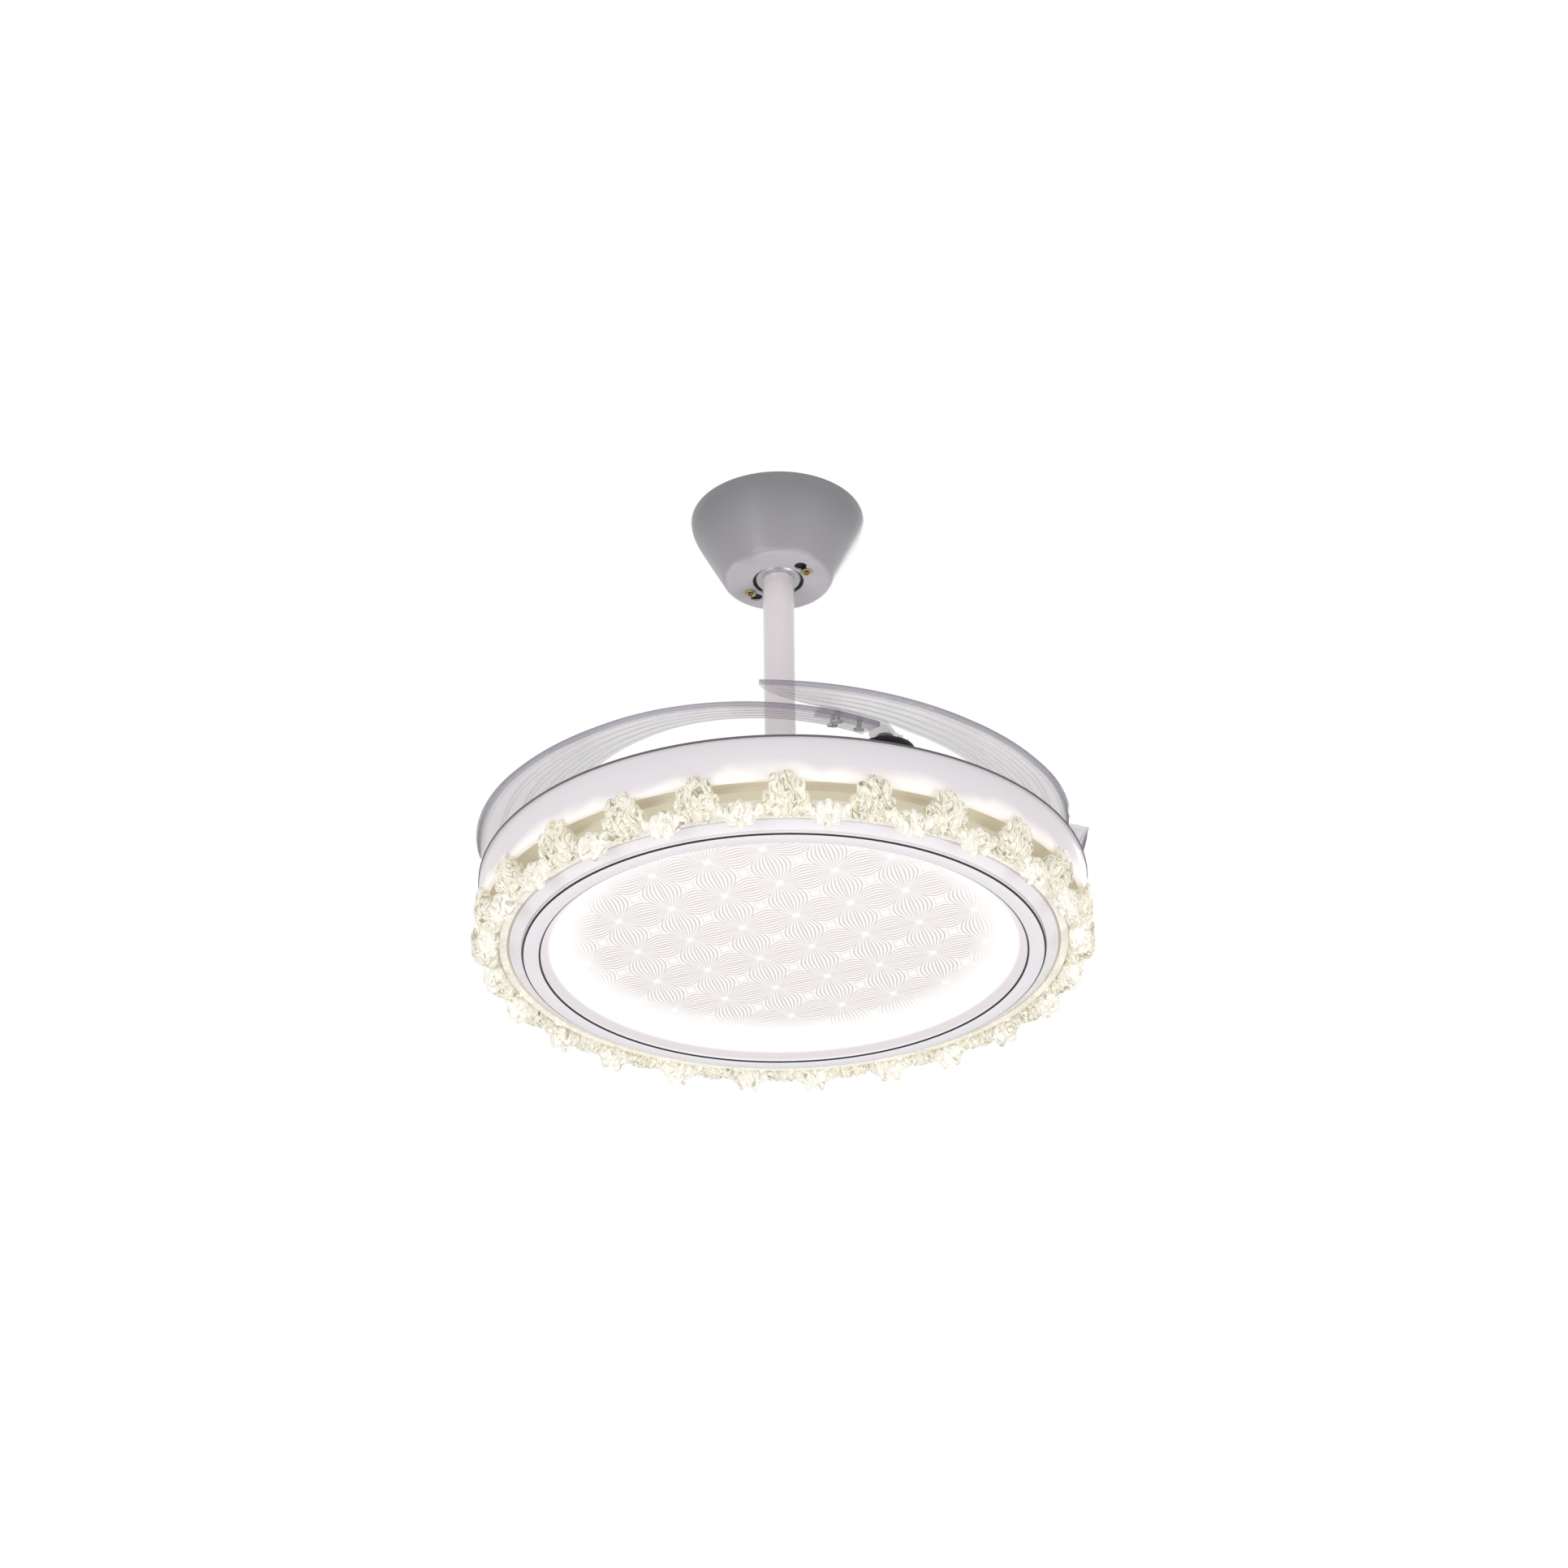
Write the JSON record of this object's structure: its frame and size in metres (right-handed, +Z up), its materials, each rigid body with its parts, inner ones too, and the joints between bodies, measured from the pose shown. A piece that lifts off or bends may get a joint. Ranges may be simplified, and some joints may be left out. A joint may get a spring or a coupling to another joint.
{
  "type": "retractable blade ceiling fan",
  "caption": "Ceiling fan with clear blades that fold into an iris over a round white lamp drum with a crystal ring and a patterned light panel, hung from a canopy on a short downrod.",
  "frame": {"origin": "centre of the bracket's face that lies on the ceiling", "axes": "+Z up into the ceiling, -Y to the viewer of the picture, +X along the two ceiling screw slots"},
  "size_m": [0.5034, 0.5034, 0.441],
  "materials": {
    "zinc_steel": "zinc plated, satin",
    "canopy_enamel": "gloss",
    "brass_screw": "polished",
    "white_enamel": "gloss",
    "white_plastic": "gloss",
    "black_plastic": "satin",
    "black_steel": "satin",
    "dark_plate": "satin",
    "screw_steel": "bright",
    "bearing_steel": "ground",
    "core_steel": "laminated",
    "copper_winding": "lacquered",
    "magnet": "matte",
    "beige_plastic": "satin",
    "led_strip": "matte",
    "crystal": "cut, clear",
    "trim_plastic": "satin",
    "opal_acrylic": "opal",
    "pattern_film": "printed lattice",
    "board_white": "white lacquer",
    "gear_nylon": "moulded",
    "holder_plastic": "moulded",
    "blade_acrylic": "clear, lilac tint"
  },
  "bodies": {
    "ceiling_mount": {"ceiling_bracket": "zinc_steel", "terminal_block": "white_plastic", "canopy": "canopy_enamel", "canopy_screws": "brass_screw"},
    "hanger": {"hanger_ball": "zinc_steel", "ball_pin": "zinc_steel", "downrod": "white_enamel", "rod_collar": "white_plastic", "yoke_cover": "black_plastic", "motor_yoke": "zinc_steel", "yoke_pin": "zinc_steel", "yoke_set_screws": "zinc_steel", "motor_shaft": "zinc_steel", "stator_core": "core_steel", "windings": "copper_winding", "bearing_inner_rings": "bearing_steel", "shaft_nuts": "zinc_steel", "top_plate": "dark_plate", "drum_shell": "white_enamel", "drum_screws": "screw_steel", "led_channel": "beige_plastic", "led_strip": "led_strip", "crystal_ring": "crystal", "crystals_large": "crystal", "crystals_small": "crystal", "flange_ring": "trim_plastic", "trim_ring": "trim_plastic", "diffuser": "opal_acrylic", "pattern_plate": "pattern_film", "led_board": "board_white", "leds": "led_strip", "board_posts": "zinc_steel", "led_driver": "white_plastic", "fan_controller": "white_plastic"},
    "rotor": {"rotor_lower": "black_steel", "rotor_upper": "black_steel", "magnet_ring": "magnet", "bearing_outer_rings": "bearing_steel", "bearing_balls": "bearing_steel", "blade_carrier": "black_steel", "carrier_screws": "screw_steel", "gear_cover": "black_plastic", "cover_screws": "screw_steel", "pivot_pins": "screw_steel", "pin_clips": "screw_steel", "return_springs": "screw_steel"},
    "sync_ring": {"sync_ring": "gear_nylon"},
    "blade_1": {"blade_1": "blade_acrylic", "blade_holder_1": "holder_plastic", "blade_screws_1": "screw_steel"},
    "blade_2": {"blade_2": "blade_acrylic", "blade_holder_2": "holder_plastic", "blade_screws_2": "screw_steel"},
    "blade_3": {"blade_3": "blade_acrylic", "blade_holder_3": "holder_plastic", "blade_screws_3": "screw_steel"},
    "blade_4": {"blade_4": "blade_acrylic", "blade_holder_4": "holder_plastic", "blade_screws_4": "screw_steel"}
  },
  "joints": [
    {"name": "hanger_swing", "type": "hinge", "parent": "ceiling_mount", "child": "hanger", "pos_m": [0, 0, -0.0441], "axis": [1, 0, 0], "range_deg": [-8, 8]},
    {"name": "rotor_spin", "type": "hinge", "parent": "hanger", "child": "rotor", "pos_m": [0, 0, -0.345], "axis": [0, 0, 1], "continuous": true},
    {"name": "sync_ring_turn", "type": "hinge", "parent": "rotor", "child": "sync_ring", "pos_m": [0, 0, -0.3257], "axis": [0, 0, 1], "range_deg": [-16, 0]},
    {"name": "blade_1_fold", "type": "hinge", "parent": "rotor", "child": "blade_1", "pos_m": [0.08098, -0.15231, -0.3255], "axis": [0, 0, 1], "range_deg": [0, 140], "stiffness_Nm_per_rad": 0.15, "springref_deg": -20.05},
    {"name": "blade_2_fold", "type": "hinge", "parent": "rotor", "child": "blade_2", "pos_m": [0.15231, 0.08098, -0.3255], "axis": [0, 0, 1], "range_deg": [0, 140], "stiffness_Nm_per_rad": 0.15, "springref_deg": -20.05},
    {"name": "blade_3_fold", "type": "hinge", "parent": "rotor", "child": "blade_3", "pos_m": [-0.08098, 0.15231, -0.3255], "axis": [0, 0, 1], "range_deg": [0, 140], "stiffness_Nm_per_rad": 0.15, "springref_deg": -20.05},
    {"name": "blade_4_fold", "type": "hinge", "parent": "rotor", "child": "blade_4", "pos_m": [-0.15231, -0.08098, -0.3255], "axis": [0, 0, 1], "range_deg": [0, 140], "stiffness_Nm_per_rad": 0.15, "springref_deg": -20.05}
  ],
  "couplings": [
    {"joint": "blade_2_fold", "follows": "blade_1_fold", "ratio": 1},
    {"joint": "blade_3_fold", "follows": "blade_1_fold", "ratio": 1},
    {"joint": "blade_4_fold", "follows": "blade_1_fold", "ratio": 1},
    {"joint": "sync_ring_turn", "follows": "blade_1_fold", "ratio": -0.1129}
  ]
}
